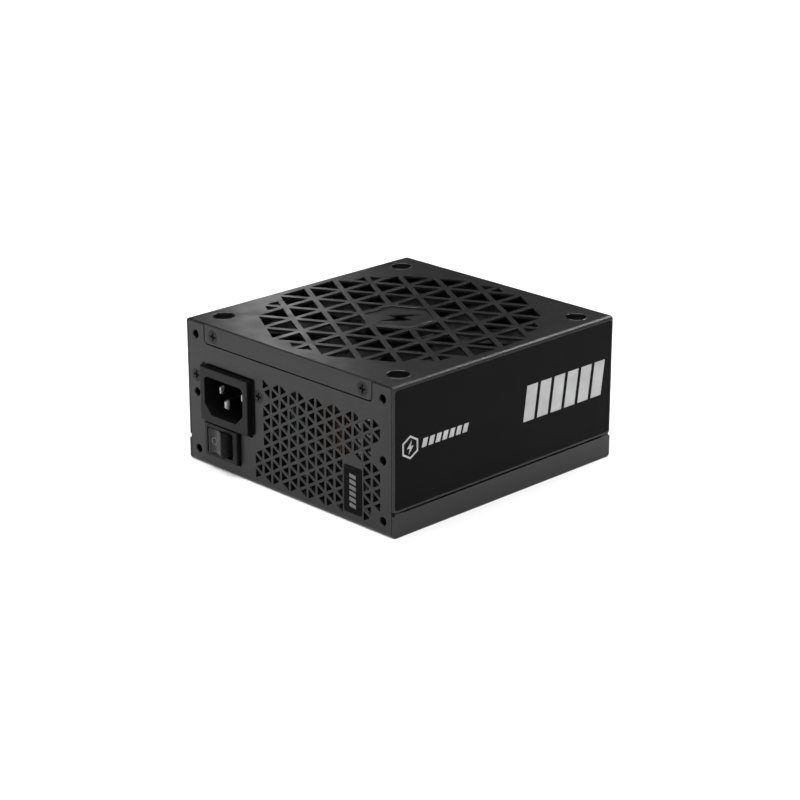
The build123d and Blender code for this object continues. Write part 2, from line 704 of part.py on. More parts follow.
def fan_rotor():
    blade = fan_blade()
    with BuildPart() as impeller:
        with Locations((0, 0, 48.6)):
            Cylinder(HUB_RADIUS, 11.4, align=(Align.CENTER, Align.CENTER, Align.MIN))
        fillet(impeller.edges().sort_by(Axis.Z)[-1], 1.2)
        with Locations((0, 0, 48.0)):
            Cylinder(18.6, 10.6, align=(Align.CENTER, Align.CENTER, Align.MIN), mode=Mode.SUBTRACT)
        tube(3.6, SHAFT_RADIUS, (57.2, 58.7))
        with PolarLocations(0, BLADE_COUNT):
            add(blade)
    save(impeller.part, "fan_impeller")
    with BuildPart() as yoke:
        tube(18.6, 17.7, (49.0, 58.6))
        tube(18.6, 3.6, (57.8, 58.6))
    save(yoke.part, "fan_yoke")
    with BuildPart() as magnet:
        tube(17.7, 15.7, (49.5, 57.0))
    save(magnet.part, "fan_magnet_ring")
    with BuildPart() as shaft:
        with Locations((0, 0, 46.5)):
            Cylinder(SHAFT_RADIUS, 58.6 - 46.5, align=(Align.CENTER, Align.CENTER, Align.MIN))
    save(shaft.part, "fan_shaft")
    with BuildPart() as clip:
        tube(2.6, SHAFT_RADIUS, (46.9, 47.3))
    save(clip.part, "fan_clip")


def wire(label, points, radius):
    """Insulated wire along straight runs joined by arcs as large as the runs allow."""
    corners = []
    for before, here, after in zip(points, points[1:], points[2:]):
        first = Vector(here) - Vector(before)
        second = Vector(after) - Vector(here)
        turn = radians(first.get_angle(second))
        corners.append(0.45 * min(first.length, second.length) / tan(turn / 2))
    with BuildPart() as lead:
        with BuildLine() as route:
            FilletPolyline(*points, radius=corners)
        with BuildSketch(Plane(origin=route.line @ 0, z_dir=route.line % 0)):
            Circle(radius)
        sweep()
    save(lead.part, label)
    length = sum(edge.length for edge in route.edges())
    print(label, "length", round(length, 1), "radii", [round(r, 1) for r in corners])


def wires():
    (line_x, line_z), (neutral_x, neutral_z), (earth_x, earth_z) = blade_places()
    tail = BLADE_TAIL
    board = ON_BOARD + 1.2
    wire("line_wire", [
        (line_x, tail, line_z), (line_x, tail + 4, line_z), (line_x + 3, tail + 6.9, line_z - 5),
        (line_x + 4.5, tail + 7.5, line_z - 12), (SWITCH_X + 0.5, tail + 6.9, SWITCH_Z + 4.5),
        (SWITCH_X, tail + 4, SWITCH_Z), (SWITCH_X, tail, SWITCH_Z),
    ], WIRE_RADIUS)
    wire("switch_wire", [
        (SWITCH_X + 7, tail, SWITCH_Z), (SWITCH_X + 7, tail + 4, SWITCH_Z),
        (SWITCH_X + 10.2, tail + 7.1, SWITCH_Z + 0.7), (SWITCH_X + 13.7, tail + 8.9, SWITCH_Z - 0.5),
        (SWITCH_X + 15.8, tail + 10.3, board),
    ], WIRE_RADIUS)
    wire("neutral_wire", [
        (neutral_x, tail, neutral_z), (neutral_x, tail + 4, neutral_z),
        (neutral_x + 3.5, tail + 6.7, neutral_z - 5), (neutral_x + 7.5, tail + 7.7, neutral_z - 13),
        (neutral_x + 9.5, tail + 8.5, neutral_z - 20), (neutral_x + 10, tail + 9.1, board),
    ], WIRE_RADIUS)
    wire("earth_wire", [
        (earth_x, tail, earth_z), (earth_x, tail + 4, earth_z), (earth_x + 4, tail + 6.1, earth_z - 3.5),
        (earth_x + 11, tail + 5, earth_z - 8), (-17.0, -41.8, 18.5), (-10.5, -44.6, 12.5),
        (-7.0, -47.4, 7.0),
    ], WIRE_RADIUS)
    wire("fan_lead", [
        (30.0, 11.6, 44.2), (40.0, 15.2, 43.6), (50.0, 19.4, 42.0), (54.6, 21.4, 36.0),
        (55.4, 21.6, 27.0), (54.6, 21.2, 18.0), (52.2, 20.2, 13.4),
    ], WIRE_RADIUS)


def boards():
    with BuildPart() as sheet:
        block((-58.5, 58.5), (-40.5, 55.0), (SHEET, SHEET + 0.4))
        with Locations(*[(x, y, SHEET) for x, y in BOARD_HOLES]):
            Cylinder(3.4, 3, mode=Mode.SUBTRACT)
    save(sheet.part, "insulating_sheet")
    with BuildPart() as standoffs:
        for x, y in BOARD_HOLES:
            with BuildSketch(Plane.XY.offset(SHEET)):
                with Locations((x, y)):
                    RegularPolygon(3.0, 6)
                    Circle(1.4, mode=Mode.SUBTRACT)
            extrude(amount=BOARD_Z[0] - SHEET)
    save(standoffs.part, "board_standoffs")
    with BuildPart() as board:
        block(BOARD_X, BOARD_Y, BOARD_Z)
        with Locations(*[(x, y, BOARD_Z[0]) for x, y in BOARD_HOLES]):
            Cylinder(1.6, 6, mode=Mode.SUBTRACT)
    save(board.part, "main_board")
    with BuildPart() as screws:
        with Locations(*[(x, y, BOARD_Z[1]) for x, y in BOARD_HOLES]):
            add(pan_screw(2.8, 1.35, 1.8, 6.0))
    save(screws.part, "board_screws")
    with BuildPart() as screw:
        with Locations((*EARTH_PLACE, 4.9)):
            add(pan_screw(2.6, 1.25, 1.8, 3.2))
    save(screw.part, "earth_screw")
    with BuildPart() as lug:
        with BuildSketch(Plane.XY.offset(4.0)):
            with Locations(EARTH_PLACE):
                Circle(3.1)
            with Locations((-6.0, -49.0)):
                Rectangle(5.0, 3.0, rotation=-26)
            with Locations(EARTH_PLACE):
                Circle(1.35, mode=Mode.SUBTRACT)
        extrude(amount=0.9)
    save(lug.part, "earth_lug")
    with BuildPart() as control:
        block((28.0, 29.6), (8.0, 38.0), (ON_BOARD, 32.0))
    save(control.part, "control_board")
    with BuildPart() as modular:
        block((-57.0, 57.0), (55.8, 57.4), (4.0, 43.0))
    save(modular.part, "modular_board")
    with BuildPart() as bars:
        for x in (-30.0, 0.0, 34.0):
            block((x - 6, x + 6), (50.0, 55.8), (ON_BOARD, 10.4))
            block((x - 6, x + 6), (54.4, 55.6), (ON_BOARD, 26.0))
    save(bars.part, "output_busbars")


def capacitor(radius, height):
    """Can with a rolled groove, standing on the XY plane."""
    with BuildPart() as can:
        Cylinder(radius, height, align=(Align.CENTER, Align.CENTER, Align.MIN))
        fillet(can.edges().group_by(Axis.Z)[-1], 0.8)
        with BuildSketch(Plane.XZ):
            with Locations((radius + 0.3, height * 0.06 + 1.2)):
                Circle(1.0)
        revolve(axis=Axis.Z, mode=Mode.SUBTRACT)
    return can.part


def capacitors():
    with BuildPart() as bulk:
        with Locations((-42.0, -22.0, ON_BOARD), (-42.0, 6.0, ON_BOARD)):
            add(capacitor(12.5, 32.0))
    save(bulk.part, "bulk_capacitors")
    with BuildPart() as output:
        with Locations((46.0, 20.0, ON_BOARD)):
            with GridLocations(9.5, 9.5, 1, 5):
                add(capacitor(4.0, 16.0))
    save(output.part, "output_capacitors")
    with BuildPart() as box:
        block((-20.0, -4.0), (36.0, 46.0), (ON_BOARD, 26.0))
        fillet(box.edges().filter_by(Axis.Z), 1.0)
    save(box.part, "x_capacitor")


def choke(core_label, winding_label, place, size, sectors):
    """Toroidal choke lying flat: ring core, and windings that cover sectors of it."""
    outer, inner, height = size
    x, y = place
    middle = ON_BOARD + height / 2 + 2.0
    with BuildPart() as core:
        with Locations((x, y, middle)):
            Cylinder(outer, height)
            Cylinder(inner, height, mode=Mode.SUBTRACT)
    save(core.part, core_label)
    with BuildPart() as winding:
        with Locations((x, y, middle)):
            Cylinder(outer + 1.5, height + 3.0)
            Cylinder(inner - 1.5, height + 3.0, mode=Mode.SUBTRACT)
        fillet(winding.edges().filter_by(GeomType.CIRCLE), 1.2)
        for start, width in sectors:
            with Locations(Location((x, y, middle), (0, 0, start))):
                Box(
                    2 * outer, width, height + 4,
                    align=(Align.MIN, Align.CENTER, Align.CENTER), mode=Mode.SUBTRACT,
                )
        add(core.part, mode=Mode.SUBTRACT)
    save(winding.part, winding_label)


def transformer(name, place, core_size, leg, window):
    """Core with two windows, and a winding round its middle leg."""
    x, y = place
    width, depth, height = core_size
    middle = ON_BOARD + height / 2 + 0.5
    with BuildPart() as core:
        with Locations((x, y, middle)):
            Box(width, depth, height)
            for side in BOTH:
                with Locations((side * (leg + window) / 2, 0, 0)):
                    Box(window, depth, height - 8, mode=Mode.SUBTRACT)
    save(core.part, f"{name}_core")
    with BuildPart() as winding:
        with Locations((x, y, middle)):
            Box(leg + 2 * window - 1, depth + 2 * window - 2, height - 9)
            fillet(winding.edges().filter_by(Axis.Z), 3.0)
            Box(leg + 0.1, depth + 0.1, height, mode=Mode.SUBTRACT)
    save(winding.part, f"{name}_winding")


def heatsink(label, x, y, fins, length):
    """Aluminium plate standing on the board, with fins on one side."""
    with BuildPart() as sink:
        block((x, x + 2), y, (ON_BOARD, 40.0))
        for row in range(fins):
            low = 16.0 + row * 22.0 / (fins - 1)
            block((x, x + length), y, (low, low + 1.2))
    save(sink.part, label)


def power_parts():
    choke("emi_choke_core", "emi_choke_windings", (-42.0, 36.0), (11.5, 6.5, 8.0), ((90, 5.0), (270, 5.0)))
    choke("pfc_choke_core", "pfc_choke_winding", (-9.0, -20.0), (13.5, 7.0, 11.0), ((200, 8.0),))
    choke("output_choke_core", "output_choke_winding", (34.0, -18.0), (9.0, 4.5, 9.0), ((0, 6.0),))
    transformer("transformer", (-8.0, 17.0), (33.0, 13.0, 30.0), 10.0, 6.5)
    heatsink("primary_heatsink", 12.0, (-36.0, -8.0), 4, 8.0)
    heatsink("secondary_heatsink", 14.0, (4.0, 42.0), 5, 9.0)
    with BuildPart() as bridge:
        block((8.0, 12.0), (-34.0, -14.0), (14.0, 34.0))
        for y in (-31.5, -26.5, -21.5, -16.5):
            block((9.5, 10.5), (y - 0.5, y + 0.5), (ON_BOARD, 14.0))
    save(bridge.part, "bridge_rectifier")


def socket(pairs):
    """Block of square cells with a locking ramp above, its face on the XY plane and facing +Z."""
    width = pairs * CELL_PITCH + 1.2
    half = CELL_PITCH + 0.6
    with BuildPart() as shroud:
        with BuildSketch(Plane.XY):
            Rectangle(width, 2 * half)
        extrude(amount=-SOCKET_DEPTH)
        block((-2.4, 2.4), (half - 0.2, half + 1.2), (-3.0 - SOCKET_PROUD, 0))
        chamfer(shroud.edges().filter_by(Axis.X).group_by(Axis.Y)[-1].sort_by(Axis.Z)[-1], 0.7)
        with BuildSketch(Plane.XY):
            with GridLocations(CELL_PITCH, CELL_PITCH, pairs, 2):
                Rectangle(CELL, CELL)
        extrude(amount=1.4 - SOCKET_DEPTH, mode=Mode.SUBTRACT)
        with BuildSketch(Plane.XY):
            with GridLocations(CELL_PITCH, CELL_PITCH, pairs, 2):
                Rectangle(1.2, 1.2)
        extrude(amount=-SOCKET_DEPTH, mode=Mode.SUBTRACT)
    return shroud.part


def socket_places(places, proud):
    """Places on the front panel, with Z pointing out of it."""
    return [FRONT_OUT.offset(proud).location * Pos(-x, z) for x, z in places]


def sockets():
    for name, (pairs, places) in SOCKETS.items():
        shroud = socket(pairs)
        with BuildPart() as row:
            with Locations(*socket_places(places, SOCKET_PROUD)):
                add(shroud)
        save(row.part, name)
    with BuildPart() as pins:
        for pairs, places in SOCKETS.values():
            with Locations(*socket_places(places, SOCKET_PROUD - SOCKET_DEPTH)):
                with GridLocations(CELL_PITCH, CELL_PITCH, pairs, 2):
                    Box(1.1, 1.1, 6.4, align=(Align.CENTER, Align.CENTER, Align.MIN))
    save(pins.part, "socket_pins")


os.makedirs("parts", exist_ok=True)
lower_chassis()
top_cover()
labels()
case_screws()
inlet_housing()
inlet_pins()
switch_housing()
switch_rocker()
fan_frame()
fan_motor()
fan_rotor()
wires()
boards()
capacitors()
power_parts()
sockets()
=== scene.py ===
import json
from math import cos, pi, radians, sin

import bmesh
import bpy
from mathutils import Matrix, Vector


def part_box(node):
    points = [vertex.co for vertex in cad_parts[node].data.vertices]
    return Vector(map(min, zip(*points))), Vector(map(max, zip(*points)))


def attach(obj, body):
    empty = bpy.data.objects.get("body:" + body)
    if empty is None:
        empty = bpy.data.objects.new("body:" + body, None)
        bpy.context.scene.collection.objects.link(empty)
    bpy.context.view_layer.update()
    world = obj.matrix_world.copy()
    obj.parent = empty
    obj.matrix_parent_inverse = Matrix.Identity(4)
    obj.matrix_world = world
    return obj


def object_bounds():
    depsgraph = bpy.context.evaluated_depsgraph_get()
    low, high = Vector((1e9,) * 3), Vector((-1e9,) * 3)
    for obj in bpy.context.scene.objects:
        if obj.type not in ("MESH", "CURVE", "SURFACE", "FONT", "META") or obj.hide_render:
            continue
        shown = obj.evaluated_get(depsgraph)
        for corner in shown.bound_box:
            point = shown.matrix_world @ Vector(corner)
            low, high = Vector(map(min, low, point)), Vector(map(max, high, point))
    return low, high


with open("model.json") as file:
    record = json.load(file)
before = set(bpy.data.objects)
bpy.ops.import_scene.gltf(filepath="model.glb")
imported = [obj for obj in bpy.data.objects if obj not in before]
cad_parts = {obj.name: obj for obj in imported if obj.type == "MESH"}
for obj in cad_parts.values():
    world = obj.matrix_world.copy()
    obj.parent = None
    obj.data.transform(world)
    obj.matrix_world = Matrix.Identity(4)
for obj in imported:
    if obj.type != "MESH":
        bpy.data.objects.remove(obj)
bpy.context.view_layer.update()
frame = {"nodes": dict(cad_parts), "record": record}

MM = 0.001
NODES = frame["nodes"]


# ---------------------------------------------------------------- shader building blocks

def new_material(name, colour, roughness, metallic=0.0, specular=0.5):
    """Material with a Principled shader; whatever is the same all over is set on its sockets."""
    material = bpy.data.materials.new(name)
    material.use_nodes = True
    tree = material.node_tree
    shader = tree.nodes["Principled BSDF"]
    shader.inputs["Base Color"].default_value = (*colour, 1.0)
    shader.inputs["Roughness"].default_value = roughness
    shader.inputs["Metallic"].default_value = metallic
    shader.inputs["Specular IOR Level"].default_value = specular
    material.diffuse_color = (*colour, 1.0)
    return material, tree, shader


def noise(tree, size, detail=2.0, stretch=(1.0, 1.0, 1.0)):
    """Noise whose features are about size metres across, in object space."""
    place = tree.nodes.new("ShaderNodeTexCoord")
    scale = tree.nodes.new("ShaderNodeMapping")
    scale.inputs["Scale"].default_value = stretch
    texture = tree.nodes.new("ShaderNodeTexNoise")
    texture.inputs["Scale"].default_value = 1.0 / size
    texture.inputs["Detail"].default_value = detail
    tree.links.new(place.outputs["Object"], scale.inputs["Vector"])
    tree.links.new(scale.outputs["Vector"], texture.inputs["Vector"])
    return texture.outputs["Fac"]


def remap(tree, value, low, high, start=0.3, end=0.7):
    """Value from start to end becomes low to high."""
    node = tree.nodes.new("ShaderNodeMapRange")
    node.inputs["From Min"].default_value = start
    node.inputs["From Max"].default_value = end
    node.inputs["To Min"].default_value = low
    node.inputs["To Max"].default_value = high
    tree.links.new(value, node.inputs["Value"])
    return node.outputs["Result"]


def mix_colours(tree, factor, first, second):
    """Blend of two colours, each a tuple or a socket."""
    node = tree.nodes.new("ShaderNodeMix")
    node.data_type = "RGBA"
    tree.links.new(factor, node.inputs[0])
    for socket, colour in ((node.inputs[6], first), (node.inputs[7], second)):
        if isinstance(colour, tuple):
            socket.default_value = (*colour, 1.0)
        else:
            tree.links.new(colour, socket)
    return node.outputs[2]


def shaded(colour, factor):
    """Colour made darker or lighter by a factor."""
    return tuple(channel * factor for channel in colour)


def rounded_edge(tree, radius):
    """Normal that rounds every edge, and a mask that is 1 on the edges."""
    bevel = tree.nodes.new("ShaderNodeBevel")
    bevel.samples = 4
    bevel.inputs["Radius"].default_value = radius
    geometry = tree.nodes.new("ShaderNodeNewGeometry")
    dot = tree.nodes.new("ShaderNodeVectorMath")
    dot.operation = "DOT_PRODUCT"
    tree.links.new(bevel.outputs["Normal"], dot.inputs[0])
    tree.links.new(geometry.outputs["Normal"], dot.inputs[1])
    mask = remap(tree, dot.outputs["Value"], 1.0, 0.0, start=0.72, end=0.97)
    return bevel.outputs["Normal"], mask


def bump(tree, height, depth, normal=None):
    """Normal with a relief of the given depth in metres."""
    node = tree.nodes.new("ShaderNodeBump")
    node.inputs["Distance"].default_value = depth
    tree.links.new(height, node.inputs["Height"])
    if normal is not None:
        tree.links.new(normal, node.inputs["Normal"])
    return node.outputs["Normal"]


# ---------------------------------------------------------------- materials

def powder_coat(name, colour, roughness=0.33, worn=2.2, edge=0.15 * MM, specular=0.5):
    """Textured paint: fine orange peel, slow colour drift, lighter and smoother along the edges."""
    material, tree, shader = new_material(name, colour, roughness, specular=specular)
    normal, mask = rounded_edge(tree, edge)
    drift = mix_colours(
        tree, remap(tree, noise(tree, 22 * MM), 0.0, 1.0), shaded(colour, 0.9), shaded(colour, 1.1)
    )
    speck = remap(tree, noise(tree, 0.35 * MM, 1.0), 0.0, 1.0)
    paint = mix_colours(tree, speck, shaded(colour, 0.86), drift)
    scuffed = mix_colours(tree, mask, paint, shaded(colour, worn))
    peel = noise(tree, 0.45 * MM, 2.0)
    swell = noise(tree, 2.2 * MM, 1.0)
    normal = bump(tree, swell, 0.012 * MM, normal)
    normal = bump(tree, peel, 0.016 * MM, normal)
    gloss = remap(tree, noise(tree, 9 * MM, 3.0), roughness - 0.05, roughness + 0.05)
    tree.links.new(scuffed, shader.inputs["Base Color"])
    tree.links.new(gloss, shader.inputs["Roughness"])
    tree.links.new(normal, shader.inputs["Normal"])
    return material


def plastic(
    name, colour, roughness=0.45, grain=0.25 * MM, depth=0.008 * MM, edge=0.2 * MM, specular=0.5
):
    """Moulded plastic: fine spark-eroded grain and faint flow marks."""
    material, tree, shader = new_material(name, colour, roughness, specular=specular)
    normal, mask = rounded_edge(tree, edge)
    flow = remap(tree, noise(tree, 6 * MM, 3.0, (1.0, 0.4, 1.0)), 0.0, 1.0)
    body = mix_colours(tree, flow, shaded(colour, 0.88), shaded(colour, 1.12))
    tree.links.new(mix_colours(tree, mask, body, shaded(colour, 1.7)), shader.inputs["Base Color"])
    tree.links.new(bump(tree, noise(tree, grain, 2.0), depth, normal), shader.inputs["Normal"])
    tree.links.new(
        remap(tree, noise(tree, 3 * MM), roughness - 0.06, roughness + 0.06), shader.inputs["Roughness"]
    )
    return material


def metal(name, colour, roughness=0.3, stretch=(1.0, 1.0, 14.0), grain=0.3 * MM, edge=0.12 * MM):
    """Bare or plated metal with drawing lines along one axis and a little tarnish."""
    material, tree, shader = new_material(name, colour, roughness, metallic=1.0)
    normal, mask = rounded_edge(tree, edge)
    tarnish = remap(tree, noise(tree, 2.5 * MM, 3.0), 0.0, 1.0)
    body = mix_colours(tree, tarnish, shaded(colour, 0.72), colour)
    lines = noise(tree, grain, 1.0, stretch)
    tree.links.new(mix_colours(tree, mask, body, shaded(colour, 1.15)), shader.inputs["Base Color"])
    tree.links.new(remap(tree, lines, roughness - 0.08, roughness + 0.1), shader.inputs["Roughness"])
    tree.links.new(bump(tree, lines, 0.003 * MM, normal), shader.inputs["Normal"])
    return material


def film(name, colour, roughness=0.42, specular=0.3):
    """Printed polyester film: nearly smooth, with a faint texture and dust-fine sparkle."""
    material, tree, shader = new_material(name, colour, roughness, specular=specular)
    normal, mask = rounded_edge(tree, 0.15 * MM)
    drift = remap(tree, noise(tree, 30 * MM), 0.0, 1.0)
    body = mix_colours(tree, drift, shaded(colour, 0.92), shaded(colour, 1.08))
    tree.links.new(mix_colours(tree, mask, body, shaded(colour, 2.0)), shader.inputs["Base Color"])
    tree.links.new(bump(tree, noise(tree, 0.6 * MM, 3.0), 0.002 * MM, normal), shader.inputs["Normal"])
    tree.links.new(
        remap(tree, noise(tree, 14 * MM, 3.0), roughness - 0.04, roughness + 0.04),
        shader.inputs["Roughness"],
    )
    return material


WAVE_TURN = 0.314  # length of one wave of the texture at scale 1


def winding(name, colour, pitch, direction="Z"):
    """Enamelled wire wound in close turns, with painted shade in the grooves between turns."""
    material, tree, shader = new_material(name, colour, 0.28, metallic=0.85)
    place = tree.nodes.new("ShaderNodeTexCoord")
    turns = tree.nodes.new("ShaderNodeTexWave")
    turns.bands_direction = direction
    turns.inputs["Scale"].default_value = WAVE_TURN / pitch
    turns.inputs["Distortion"].default_value = 0.6
    tree.links.new(place.outputs["Object"], turns.inputs["Vector"])
    # darker bands where the wave is low are painted shade in the grooves between turns
    body = mix_colours(tree, turns.outputs["Fac"], shaded(colour, 0.35), colour)
    tree.links.new(body, shader.inputs["Base Color"])
    tree.links.new(bump(tree, turns.outputs["Fac"], 0.25 * pitch), shader.inputs["Normal"])
    return material


def circuit(name, colour):
    """Solder mask over copper tracks."""
    material, tree, shader = new_material(name, colour, 0.35)
    place = tree.nodes.new("ShaderNodeTexCoord")
    tracks = tree.nodes.new("ShaderNodeTexBrick")
    tracks.inputs["Scale"].default_value = 1.0 / (12 * MM)
    tracks.inputs["Mortar Size"].default_value = 0.04
    tracks.inputs["Color1"].default_value = (*colour, 1.0)
    tracks.inputs["Color2"].default_value = (*shaded(colour, 0.8), 1.0)
    tracks.inputs["Mortar"].default_value = (*shaded(colour, 1.8), 1.0)
    tree.links.new(place.outputs["Object"], tracks.inputs["Vector"])
    tree.links.new(tracks.outputs["Color"], shader.inputs["Base Color"])
    tree.links.new(bump(tree, tracks.outputs["Fac"], 0.02 * MM), shader.inputs["Normal"])
    return material


PAINT = (0.007, 0.007, 0.0072)

# One material per slot of the record, and rubbed_lip for the pressed edges of the top
MATERIALS = {
    "case_metal": powder_coat("case_metal", PAINT, specular=0.30),
    "case_screw": powder_coat(
        "case_screw", (0.003, 0.003, 0.0032), 0.3, worn=5.0, edge=0.2 * MM, specular=0.17
    ),
    "rubbed_lip": powder_coat(
        "rubbed_lip", (0.02, 0.02, 0.0205), 0.17, worn=1.3, edge=0.02 * MM, specular=0.8
    ),
    "label_film": film("label_film", (0.0021, 0.0021, 0.0022), specular=0.035),
    "rating_film": film("rating_film", (0.012, 0.012, 0.013), 0.5),
    "inlet_plastic": plastic("inlet_plastic", (0.0035, 0.0035, 0.0037), 0.38, specular=0.14),
    "rocker_plastic": plastic(
        "rocker_plastic", (0.005, 0.005, 0.0053), 0.3, grain=0.3 * MM, depth=0.003 * MM, specular=0.26
    ),
    "nickel": metal("nickel", (0.46, 0.45, 0.43), 0.22),
    # fan_plastic is darker than the fan's own black plastic: painted shade for the dim inside of the
    # case
    "fan_plastic": plastic("fan_plastic", (0.0025, 0.0025, 0.0027), 0.42, specular=0.13),
    "bronze": metal("bronze", (0.5, 0.33, 0.16), 0.4),
    "steel": metal("steel", (0.52, 0.52, 0.53), 0.3),
    "ferrite": plastic("ferrite", (0.03, 0.03, 0.033), 0.6, grain=0.5 * MM, depth=0.02 * MM),
    # copper is much darker than real copper: painted shade for the dim inside of the case
    "copper": winding("copper", (0.25, 0.10, 0.04), 0.8 * MM),
    "circuit_board": circuit("circuit_board", (0.004, 0.011, 0.006)),
    "aluminium": metal("aluminium", (0.6, 0.61, 0.62), 0.38, stretch=(14.0, 1.0, 1.0)),
    "capacitor_sleeve": plastic("capacitor_sleeve", (0.012, 0.012, 0.02), 0.25, grain=1.5 * MM),
    "insulation": plastic("insulation", (0.16, 0.16, 0.15), 0.3, grain=2 * MM),
    "socket_plastic": plastic("socket_plastic", (0.011, 0.011, 0.0115), 0.4),
    "brown_wire": plastic("brown_wire", (0.08, 0.03, 0.012), 0.4, grain=1 * MM),
    # blue_wire and green_wire are darker than their own colours: painted shade for the dim inside of
    # the case
    "blue_wire": plastic("blue_wire", (0.006, 0.02, 0.07), 0.4, grain=1 * MM),
    "green_wire": plastic("green_wire", (0.02, 0.08, 0.012), 0.4, grain=1 * MM),
    "black_wire": plastic("black_wire", (0.012, 0.012, 0.012), 0.4, grain=1 * MM),
    "yellow_box": plastic("yellow_box", (0.45, 0.33, 0.06), 0.4, grain=1.2 * MM),
}
PRINT = plastic("print_ink", (0.35, 0.35, 0.35), 0.5, grain=0.2 * MM, depth=0.003 * MM)
MUTED_PRINT = plastic("muted_ink", (0.11, 0.11, 0.11), 0.5, grain=0.2 * MM, depth=0.003 * MM)


def dress_cad_nodes():
    """Give every CAD node the material of its slot in the record."""
    for part in frame["record"]["subparts"]:
        mesh = NODES[part["node"]].data
        mesh.materials.clear()
        mesh.materials.append(MATERIALS[part["material_slot"]])


# ---------------------------------------------------------------- printed marks

PRINT_THICK = 0.04 * MM
BOLT = ((0.16, 0.5), (-0.31, -0.07), (-0.04, -0.07), (-0.16, -0.5), (0.31, 0.07), (0.04, 0.07))
BOLT_SCALE = 1.15

# Ring and bar on the rocker
RING_RADII = (1.6 * MM, 1.34 * MM)
BAR_HALF_WIDTH = 0.25 * MM
BAR_LEVELS = (-1.6 * MM, -0.8 * MM, 0.0, 0.8 * MM, 1.6 * MM)
STRIP_SINK = 0.03 * MM
STRIP_RISE = 0.05 * MM


def made_object(name, mesh, material):
    """Object made from a bmesh, with its faces turned outwards."""
    bmesh.ops.recalc_face_normals(mesh, faces=mesh.faces)
    data = bpy.data.meshes.new(name)
    mesh.to_mesh(data)
    mesh.free()
    data.materials.append(material)
    piece = bpy.data.objects.new(name, data)
    bpy.context.scene.collection.objects.link(piece)
    return piece


def prism(name, outlines, origin, across, up, material, slot, body="root"):
    """Ink with closed outlines in the plane through origin, raised along across x up."""
    across = Vector(across)
    up = Vector(up)
    normal = across.cross(up)
    mesh = bmesh.new()
    for outline in outlines:
        base = [mesh.verts.new(Vector(origin) + across * x + up * y) for x, y in outline]
        face = mesh.faces.new(base)
        face.normal_update()
        if face.normal.dot(normal) < 0:
            face.normal_flip()
        top = bmesh.ops.extrude_face_region(mesh, geom=[face])
        moved = [item for item in top["geom"] if isinstance(item, bmesh.types.BMVert)]
        bmesh.ops.translate(mesh, verts=moved, vec=normal * PRINT_THICK)
    piece = made_object(name, mesh, material)
    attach(piece, body)


def slanted_bars(left, bottom, width, height, count, gap, slant):
    """Row of forward-leaning bars that fills a rectangle."""
    step = (width - slant * height) / count
    bars = []
    for index in range(count):
        x = left + index * step
        bars.append([
            (x, bottom), (x + step - gap, bottom),
            (x + step - gap + slant * height, bottom + height), (x + slant * height, bottom + height),
        ])
    return bars


def hexagon_badge(x, y, radius, wall):
    """Hexagon outline as six separate bars, with a small bolt inside."""
    shapes = []
    corner = [(cos(radians(60 * k + 30)), sin(radians(60 * k + 30))) for k in range(7)]
    for (ax, ay), (bx, by) in zip(corner, corner[1:]):
        inner = radius - wall
        shapes.append([
            (x + ax * radius, y + ay * radius), (x + bx * radius, y + by * radius),
            (x + bx * inner, y + by * inner), (x + ax * inner, y + ay * inner),
        ])
    shapes.append([(x + px * radius * BOLT_SCALE, y + py * radius * BOLT_SCALE) for px, py in BOLT])
    return shapes


def side_marks(node, side):
    """Badge, a short row of dashes and a large row of bars on a side label."""
    low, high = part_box(node)
    length = high.y - low.y
    middle = (low.z + high.z) / 2
    face_x = high.x if side > 0 else low.x
    start_y = low.y if side > 0 else high.y
    place = dict(
        origin=(face_x, start_y, 0), across=(0, side, 0), up=(0, 0, 1),
        material=PRINT, slot="label_film",
    )
    badge = hexagon_badge(8.3 * MM, middle - 0.2 * MM, 5.0 * MM, 0.9 * MM)
    dashes = slanted_bars(14.6 * MM, middle - 2.0 * MM, 28 * MM, 3.6 * MM, 7, 1.3 * MM, 0.3)
    bars = slanted_bars(length - 54.5 * MM, middle - 6.9 * MM, 52.5 * MM, 15.4 * MM, 6, 1.9 * MM, 0.14)
    prism(f"{node}_badge", badge, **place)
    prism(f"{node}_dashes", dashes, **place)
    prism(f"{node}_bars", bars, **place)


def rocker_marks():
    """Ring on the pressed half of the rocker and a bar of its own plastic on the raised half."""
    rocker = NODES["switch_rocker"]
    low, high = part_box("switch_rocker")
    middle = (low.z + high.z) / 2
    quarter = (high.x - low.x) / 4
    ring = [
        [(radius * cos(radians(15 * k)), radius * sin(radians(15 * k))) for k in range(24)]
        for radius in RING_RADII
    ]
    bar = [[(BAR_HALF_WIDTH, z), (-BAR_HALF_WIDTH, z)] for z in BAR_LEVELS]
    loops = list(zip(*ring))
    draped("rocker_ring", rocker, (low.x + quarter, middle), loops + loops[:1], MUTED_PRINT)
    draped("rocker_bar", rocker, (high.x - quarter, middle), bar, MATERIALS["rocker_plastic"])


def draped(name, node, centre, pairs, material):
    """Thin strip between pairs of (x, z) points, laid on the -Y side of a node of the rocker body."""
    mesh = bmesh.new()
    rungs = []
    for pair in pairs:
        rung = []
        for x, z in pair:
            start = Vector((centre[0] + x, -0.2, centre[1] + z))
            _, spot, normal, _ = node.ray_cast(start, Vector((0, 1, 0)))
            under = mesh.verts.new(spot - normal * STRIP_SINK)
            rung.append((under, mesh.verts.new(spot + normal * STRIP_RISE)))
        rungs.append(rung)
    for (a, b), (c, d) in zip(rungs, rungs[1:]):
        mesh.faces.new((a[1], b[1], d[1], c[1]))
        mesh.faces.new((a[0], c[0], d[0], b[0]))
        mesh.faces.new((a[0], a[1], c[1], c[0]))
        mesh.faces.new((b[0], d[0], d[1], b[1]))
    bmesh.ops.remove_doubles(mesh, verts=mesh.verts, dist=0.001 * MM)
    bmesh.ops.holes_fill(mesh, edges=mesh.edges, sides=4)
    piece = made_object(name, mesh, material)
    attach(piece, "rocker")


